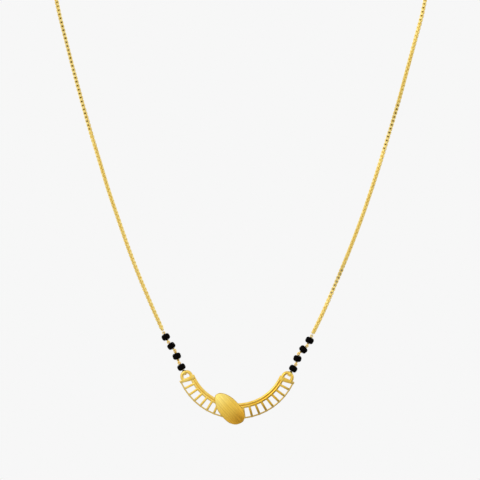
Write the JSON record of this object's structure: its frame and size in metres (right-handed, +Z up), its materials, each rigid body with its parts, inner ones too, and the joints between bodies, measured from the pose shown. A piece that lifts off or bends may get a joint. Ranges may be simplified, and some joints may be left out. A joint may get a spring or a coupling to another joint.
{
  "type": "mangalsutra necklace",
  "caption": "Short gold mangalsutra: fine box chain, black barrel beads on eye pins, and an open half-ring pendant with a domed satin leaf, closed by a ring clasp.",
  "frame": {"origin": "the middle of the nape stretch, where the chain and its clasp sit on the back of the neck", "axes": "+Z up; -Y is the front, which the pendant faces; +X is the wearer's left, on the right of the picture"},
  "size_m": [0.1134, 0.0501, 0.1542],
  "materials": {
    "polished_gold": "bright polished yellow gold",
    "satin_gold": "satin, with fine brushed lines along the leaf",
    "chain_gold": "polished fine box chain",
    "black_glass": "opaque glossy black glass"
  },
  "bodies": {
    "root": {"pendant": "polished_gold", "clasp": "polished_gold", "bead_left_1": "black_glass", "bead_left_2": "black_glass", "bead_left_3": "black_glass", "bead_left_4": "black_glass", "bead_right_1": "black_glass", "bead_right_2": "black_glass", "bead_right_3": "black_glass", "bead_right_4": "black_glass", "eye_pin_left_1": "polished_gold", "eye_pin_left_2": "polished_gold", "eye_pin_left_3": "polished_gold", "eye_pin_left_4": "polished_gold", "eye_pin_right_1": "polished_gold", "eye_pin_right_2": "polished_gold", "eye_pin_right_3": "polished_gold", "eye_pin_right_4": "polished_gold", "jump_ring_left": "polished_gold", "jump_ring_right": "polished_gold", "chain_left": "chain_gold", "chain_right": "chain_gold"}
  },
  "joints": []
}
